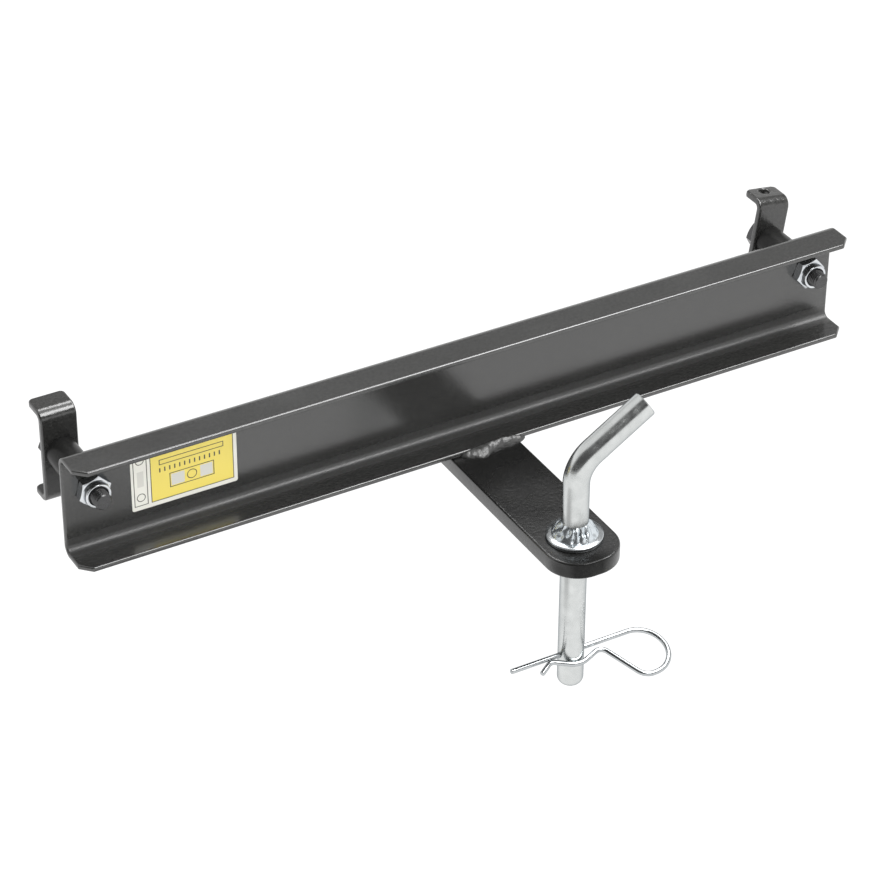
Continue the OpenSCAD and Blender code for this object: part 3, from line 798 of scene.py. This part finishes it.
def bracket_strip(hole_s):
    """The folded strip with its hole at that distance along it. The rows stand clear of the hole's
    window, and close up towards both rounded ends."""
    hole_rows = hole_s + np.linspace(-lip_window, lip_window, 11)
    rows = np.concatenate([lip_tip, strip_long - lip_tip, fold_rows(bracket_line), [0.03, 0.05]])
    rows = in_order(rows[np.abs(rows - hole_s) > lip_clear], hole_rows)
    halves = corner_half(strip_half, coat_edge, bracket_corner, np.minimum(rows, strip_long - rows))
    return folded_strip(bracket_line, rows, halves, bracket_columns, strip_t, coat_edge,
                        (hole_s, lip_hole_r, ends_in(rows, hole_rows), lip_columns))


for side_name, side, lean, hole_s in (("left", -1, 0.0, strip_long - lip_hole_edge),
                                      ("right", 1, right_turn, lip_hole_edge)):
    bracket_points, bracket_faces = bracket_strip(hole_s)
    x, y, z = bracket_points.T
    tilted = np.stack([x * math.cos(lean) + z * math.sin(lean) + side * bolt_axis_x, y,
                       z * math.cos(lean) - x * math.sin(lean)], 1)
    add_piece("clamp_bracket_" + side_name, (tilted, bracket_faces), bracket_coat,
              side_name + "_bracket", "black_coat", "bracket_" + side_name)


# Hitch pin: 15 mm drawn steel bar, bent to a handle, its foot rounded and cross-drilled for the
# clip, then zinc plated. The plate is softly mottled over the fine grain of the bar.

pin_r = 0.0075
pin_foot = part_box("hitch_pin")[0].z
cross_z = -0.1185
cross_r = 0.0016
cross_window = 0.0032
bend_from = -0.0039
bend_r = 0.0207
bend_turn = math.radians(58)
grip = 0.039
foot_round = 0.005
grip_chamfer = 0.0006
bend_reach = bend_r * math.tan(bend_turn / 2)
bend_corner = np.array([0, bend_from + bend_reach])
handle_way = np.array([math.sin(bend_turn), math.cos(bend_turn)])
pin_line = bent_line([(0, pin_foot), bend_corner, bend_corner + (bend_reach + grip) * handle_way],
                     [bend_r], turn_step=3)
pin_long = pin_line[0][-1]
cross_s = cross_z - pin_foot
foot_rows = foot_round * (1 - np.cos(np.linspace(0, math.pi / 2, 9)))
cross_rows = cross_s + np.linspace(-cross_window, cross_window, 9)
shank_rows = np.concatenate([[0.0085, 0.012, 0.015], np.arange(0.03, 0.135, 0.012)])
grip_rows = pin_long - np.array([0, grip_chamfer, grip_chamfer + 0.0004, 0.012, 0.025])
pin_rows = in_order(foot_rows, cross_rows, shank_rows, pin_line[0][1:-1], grip_rows)
into_foot = np.clip(foot_round - pin_rows, 0, foot_round)
pin_radii = pin_r - foot_round + np.sqrt(foot_round ** 2 - into_foot ** 2)
pin_radii = np.minimum(pin_radii, pin_r - np.clip(grip_chamfer - (pin_long - pin_rows), 0, None))
pin_sides = 96
pin_turns = np.linspace(0, 2 * math.pi, pin_sides, endpoint=False)


def rod(line, rows, radii, turns):
    """A round rod along a flat line: at each row a circle of that radius, spanned by the line's
    normal in its plane and by the plane's own normal."""
    along, middle, heading = line
    turn = np.interp(rows, along, heading)[:, None]
    a = np.interp(rows, along, middle[:, 0])[:, None]
    b = np.interp(rows, along, middle[:, 1])[:, None]
    off = radii[:, None] * np.cos(turns)
    side = np.broadcast_to(radii[:, None] * np.sin(turns), off.shape)
    return np.stack([a + off * np.sin(turn), side, b - off * np.cos(turn)], -1)


pin_grid = rod(pin_line, pin_rows, pin_radii, pin_turns)
pin_points, pin_faces = closed_rings(pin_grid)
row_from, row_to = ends_in(pin_rows, cross_rows)
kept = np.ones((pin_rows.size - 1, pin_sides), bool)
window_half = 7
cross_columns = np.arange(-window_half, window_half + 1) % pin_sides
for half_round in (0, pin_sides // 2):
    kept[row_from:row_to, (cross_columns[:-1] + half_round) % pin_sides] = False
index = np.arange(pin_rows.size * pin_sides).reshape(pin_rows.size, pin_sides)
window = pin_points[outline_of(index[row_from:row_to + 1][:, cross_columns])]
# The cross hole runs along X: its rings go from the window to the hole on the bar's round surface,
# x = root of (radius^2 - y^2), and then through to the other side's, which are the same mirrored.
spoke = window[:, 1:] - [0, cross_z]
blend = np.array([0, 0.3, 0.6, 0.85, 0.95, 1])[:, None, None]
cross_yz = spoke * (1 - blend) + unit(spoke) * cross_r * blend
cross_x = np.sqrt(pin_r ** 2 - cross_yz[..., 0] ** 2)
near_side = np.stack([cross_x, cross_yz[..., 0], cross_yz[..., 1] + cross_z], -1)
drilled = np.concatenate([near_side, near_side[::-1] * [-1, 1, 1]])


def end_disc(circle, shares):
    """Rings that close a rod's end: its last circle, shrunk on its middle by each share."""
    centre = circle.mean(0)
    return centre + (circle - centre) * np.array(shares)[:, None, None]


pin_points, pin_faces = join(
    (pin_points, pin_faces[kept.ravel()]), closed_rings(drilled),
    closed_rings(end_disc(pin_grid[0], [1, 0.5, 0])),
    closed_rings(end_disc(pin_grid[-1], [1, 0.97, 0.5, 0])))
pin_zinc = zinc_plate("bright_zinc_plate_on_drawn_bar", "#e6e8e7", "#c8cbca", rough=(0.18, 0.30),
                      grain=0.0007, depth=0.000018)
add_piece("pin_with_handle", (pin_points + [0, pin_y, 0], pin_faces), pin_zinc, "pin", "bright_zinc",
          "hitch_pin")


# Pin collar and its weld: a punched 32 mm washer, its upper edge rolled over by the punch, pushed up
# the bar and welded above. The bead is drawn out in short folds round the bar, and all is zinc plated.

collar_low, collar_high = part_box("pin_collar")
collar_out = (collar_high.x - collar_low.x) / 2
rim = 0.0007
roll_r = 0.009
roll_degrees = 70
roll_end = math.radians(roll_degrees)
roll_y = collar_high.z - roll_r * (1 - math.sin(roll_end))
roll_x = collar_out - rim + (rim - roll_r) * math.cos(roll_end)
collar_bore_r = pin_r - 0.0002
washer = [(collar_bore_r, collar_high.z)]
washer += arc_profile(roll_x, collar_high.z - roll_r, roll_r, 90, roll_degrees, 8)
washer += arc_profile(collar_out - rim, roll_y - rim * math.sin(roll_end), rim, roll_degrees, 0)[1:]
washer += arc_profile(collar_out - rim, collar_low.z + rim, rim, 0, -90)
washer += [(collar_out - rim - 0.0006, collar_low.z), (collar_bore_r, collar_low.z)]
points, faces = closed_rings(turned(washer, full_turn), loop=True)
points = points[:, [0, 2, 1]] + [0, pin_y, 0]
collar_zinc = zinc_plate("bright_zinc_plate_on_washer", "#f2f5f6", "#d6dbdf", rough=(0.14, 0.26),
                         grain=0.0012, depth=0.00001)
add_piece("stop_collar", (points, faces), collar_zinc, "pin", "zinc", "pin_collar")

weld_low, weld_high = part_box("pin_weld")
weld_out = (weld_high.x - weld_low.x) / 2
weld_tall = weld_high.z - weld_low.z
weld_sunk = 0.0001
fold_tall, fold_out = 0.0009, 0.0006
lump_tall, lump_out = 0.0007, 0.0004
# The share runs from 0 at the bead's top on the bar to 1 at its foot on the collar.
share = np.linspace(0, 1, 26)[:, None]
turns = np.linspace(0, 2 * math.pi, 180, endpoint=False)[None, :]
fold_wave = np.abs(np.sin(7 * turns + 1.1 * np.sin(3 * turns) + 0.8 * np.cos(2 * turns + 1) + share))
lump = lumps(share, np.sin(turns) * 3 + np.cos(2 * turns), (6, 2.2), 11)
hump = np.sin(math.pi * share ** 0.8) ** 1.2
height = weld_tall * (1 - share) ** 1.15 + hump * (fold_tall * fold_wave - 0.0005 + lump_tall * lump)
radius = pin_r - weld_sunk + (weld_out - pin_r) * share ** 1.1
radius = radius + hump * (fold_out * fold_wave + lump_out * lump)
radius = np.minimum(radius, weld_out)
skin = np.stack(np.broadcast_arrays(radius * np.cos(turns), radius * np.sin(turns),
                                    weld_low.z + height), -1)
skin[-1, :, 2] = weld_low.z - weld_sunk
core = skin[[-1, 0]].copy()
core[..., :2] = unit(core[..., :2]) * (pin_r - 0.0006)
points, faces = closed_rings(np.concatenate([skin, core]), loop=True)
weld_zinc = zinc_plate("zinc_plate_on_weld", "#f2f7fa", "#ccd6dc", rough=(0.22, 0.36),
                       grain=0.0009, depth=0.00003)
add_piece("collar_weld", (points + [0, pin_y, 0], faces), weld_zinc, "pin", "zinc", "pin_weld")


# Hairpin clip: 3 mm hard-drawn spring wire, bent cold, with a straight leg through the cross hole
# and a waved leg that springs over the pin. Its zinc plate is smooth, as the wire under it is.

wire_r = 0.0015
wire_sides = 28
end_round = 0.0006
clip_tilt = math.radians(15)
clip_corners_mm = [(-39, 0), (52.85, 0), (52.85, 31.7), (30.5, 31.7), (17.2, 4), (0, 10.72),
                   (-14.6, 2.5), (-23.5, 8.2)]
clip_radii_mm = [15.85, 15.85, 8.5, 5, 12, 4]
clip_line = bent_line(np.array(clip_corners_mm) / 1000, np.array(clip_radii_mm) / 1000, turn_step=6)
clip_long = clip_line[0][-1]
end_rows = end_round * (1 - np.cos(np.linspace(0, math.pi / 2, 6)))
clip_rows = in_order(end_rows, clip_long - end_rows, clip_line[0][1:-1], np.linspace(0.004, 0.036, 5))
into_end = np.clip(end_round - np.minimum(clip_rows, clip_long - clip_rows), 0, end_round)
clip_radii = wire_r - end_round + np.sqrt(end_round ** 2 - into_end ** 2)
wire_turns = np.linspace(0, 2 * math.pi, wire_sides, endpoint=False)
wire = rod(clip_line, clip_rows, clip_radii, wire_turns)
wire = np.concatenate([end_disc(wire[0], [0]), wire, end_disc(wire[-1], [0])])
along_x, out_of_plane, down = wire[..., 0], wire[..., 1], wire[..., 2]
clip_y = pin_y - down * math.cos(clip_tilt) - out_of_plane * math.sin(clip_tilt)
clip_z = cross_z - down * math.sin(clip_tilt) + out_of_plane * math.cos(clip_tilt)
clip_surface = closed_rings(np.stack([along_x, clip_y, clip_z], -1))
clip_zinc = zinc_plate("bright_zinc_plate_on_spring_wire", "#cfd2d3", "#b3b7b9", rough=(0.10, 0.18),
                       grain=0.0006, depth=0.000003)
add_piece("hairpin_spring_clip", clip_surface, clip_zinc, "clip", "bright_zinc", "hairpin_clip")


# Studio: a pale floor, clear from below, a white sweep all round, and soft boxes overhead. Above the
# sweep the room in front is dark, and that gives the bare metal something to reflect. Reflections
# also show a soft shade on the floor in front of the beam's left half.

white = (1.0, 1.0, 1.0, 1.0)
floor_z = cad_box[0].z - 0.0005
shade_middle = (-0.16, -0.13, floor_z)
floor_level, sweep_level, fill_level = 1.1, 1.06, 0.7
dark_level, overhead_level = 0.07, 1.25
floor_mesh = bpy.data.meshes.new("floor")
floor_half = 8.0
floor_mesh.from_pydata([(-floor_half, -floor_half, floor_z), (floor_half, -floor_half, floor_z),
                        (floor_half, floor_half, floor_z), (-floor_half, floor_half, floor_z)],
                       [], [(0, 1, 2, 3)])
floor = bpy.data.objects.new("floor", floor_mesh)
bpy.context.collection.objects.link(floor)
floor_paint = bpy.data.materials.new("pale_studio_floor")
floor_paint.use_nodes = True
tree = floor_paint.node_tree
tree.nodes.clear()
matt = add_node(tree, "BsdfDiffuse", {"Color": linear("#e8e8e6")})
path = add_node(tree, "LightPath", {})
place = add_node(tree, "TexCoord", {}).outputs["Object"]
from_shade = add_node(tree, "VectorMath", {0: place, 1: shade_middle}, operation="DISTANCE")
shade = add_node(tree, "MapRange", {
    "Value": from_shade.outputs["Value"], "From Min": 0.03, "From Max": 0.1,
    "To Min": 0.6, "To Max": 0.06}, interpolation_type="SMOOTHSTEP")
shaded = add_node(tree, "Math", {0: shade, 1: path.outputs["Is Glossy Ray"]}, operation="MULTIPLY")
strength = add_node(tree, "Math", {0: floor_level, 1: shaded}, operation="SUBTRACT")
bright = add_node(tree, "Emission", {"Color": white, "Strength": strength})
seen = add_node(tree, "Math", {0: path.outputs["Is Camera Ray"], 1: path.outputs["Is Glossy Ray"]},
                operation="MAXIMUM")
seen = add_node(tree, "Math", {0: seen, 1: path.outputs["Is Transmission Ray"]},
                operation="MAXIMUM")
blend_floor = add_node(tree, "MixShader", {0: seen, 1: matt, 2: bright})
clear = add_node(tree, "BsdfTransparent", {})
below = add_node(tree, "NewGeometry", {})
one_way = add_node(tree, "MixShader", {0: below.outputs["Backfacing"], 1: blend_floor, 2: clear})
add_node(tree, "OutputMaterial", {"Surface": one_way})
floor_mesh.materials.append(floor_paint)

world = bpy.data.worlds.new("studio")
bpy.context.scene.world = world
world.use_nodes = True
tree = world.node_tree
tree.nodes.clear()
path = add_node(tree, "LightPath", {})
# The room as metal sees it, by the direction a reflection goes. It is plain white up to the sweep's
# top, then dimmer on the right than on the left.
way = add_node(tree, "SeparateXYZ", {0: add_node(tree, "TexCoord", {}).outputs["Generated"]})
rise = add_node(tree, "MapRange", {"Value": way.outputs["Z"], "From Min": 0.22, "From Max": 0.5},
                interpolation_type="SMOOTHSTEP")
upper = add_node(tree, "MapRange", {"Value": way.outputs["X"], "From Min": -0.3, "From Max": -0.05,
                                    "To Min": 0.85, "To Max": 0.34}, interpolation_type="SMOOTHSTEP")
ceiling = add_node(tree, "Mix", {0: rise, 2: 1.0, 3: upper})
# The dark part of the room stands in front and to the left.
near_left = add_node(tree, "Math", {0: way.outputs["X"], 1: 0.7, 2: way.outputs["Y"]},
                     operation="MULTIPLY_ADD")
front = add_node(tree, "MapRange", {"Value": near_left, "From Min": -0.22, "From Max": -0.45},
                 interpolation_type="SMOOTHSTEP")
leftward_rise = add_node(tree, "Math", {0: way.outputs["X"], 1: -0.4, 2: way.outputs["Z"]},
                         operation="MULTIPLY_ADD")
standing = add_node(tree, "MapRange", {"Value": leftward_rise, "From Min": 0.24, "From Max": 0.36},
                    interpolation_type="SMOOTHSTEP")
dark_part = add_node(tree, "Math", {0: front, 1: standing}, operation="MULTIPLY")
dim = add_node(tree, "Mix", {0: dark_part, 2: ceiling, 3: dark_level})
# Overhead on the right hangs a bright panel.
overhead = add_node(tree, "MapRange", {"Value": way.outputs["Z"], "From Min": 0.68, "From Max": 0.78},
                    interpolation_type="SMOOTHSTEP")
right_part = add_node(tree, "MapRange", {"Value": way.outputs["X"], "From Min": -0.25, "From Max": 0.0},
                      interpolation_type="SMOOTHSTEP")
overhead = add_node(tree, "Math", {0: overhead, 1: right_part}, operation="MULTIPLY")
level = add_node(tree, "Mix", {0: overhead, 2: dim, 3: overhead_level})
# The camera sees only the sweep, and dull surfaces are lit by an even fill.
seen = add_node(tree, "Math", {0: path.outputs["Is Camera Ray"],
                               1: path.outputs["Is Transmission Ray"]}, operation="MAXIMUM")
fill = add_node(tree, "Background", {"Color": white, "Strength": fill_level})
sweep = add_node(tree, "Background", {"Color": white, "Strength": sweep_level})
room = add_node(tree, "Background", {"Color": white, "Strength": level})
lit = add_node(tree, "MixShader", {0: path.outputs["Is Glossy Ray"], 1: fill, 2: room})
surround = add_node(tree, "MixShader", {0: seen, 1: lit, 2: sweep})
add_node(tree, "OutputWorld", {"Surface": surround})


def soft_box(name, place, size, power):
    """A rectangular area lamp of that size at a place, facing the hitch."""
    lamp = bpy.data.objects.new(name, bpy.data.lights.new(name, "AREA"))
    lamp.data.shape = "RECTANGLE"
    lamp.data.size, lamp.data.size_y = size
    lamp.data.energy = power
    lamp.location = place
    x, y, z = place
    lamp.rotation_euler = (math.atan2(math.hypot(x, y), z), 0, math.atan2(x, -y))
    bpy.context.collection.objects.link(lamp)
    return lamp


soft_box("back_box", (0.55, 0.50, 1.45), (1.5, 0.40), 12)
soft_box("top_box", (0.55, -0.60, 1.42), (1.5, 0.70), 26)
front_box = soft_box("front_box", (-0.5, -2.1, 0.4), (1.6, 0.9), 16)
front_box.visible_glossy = False
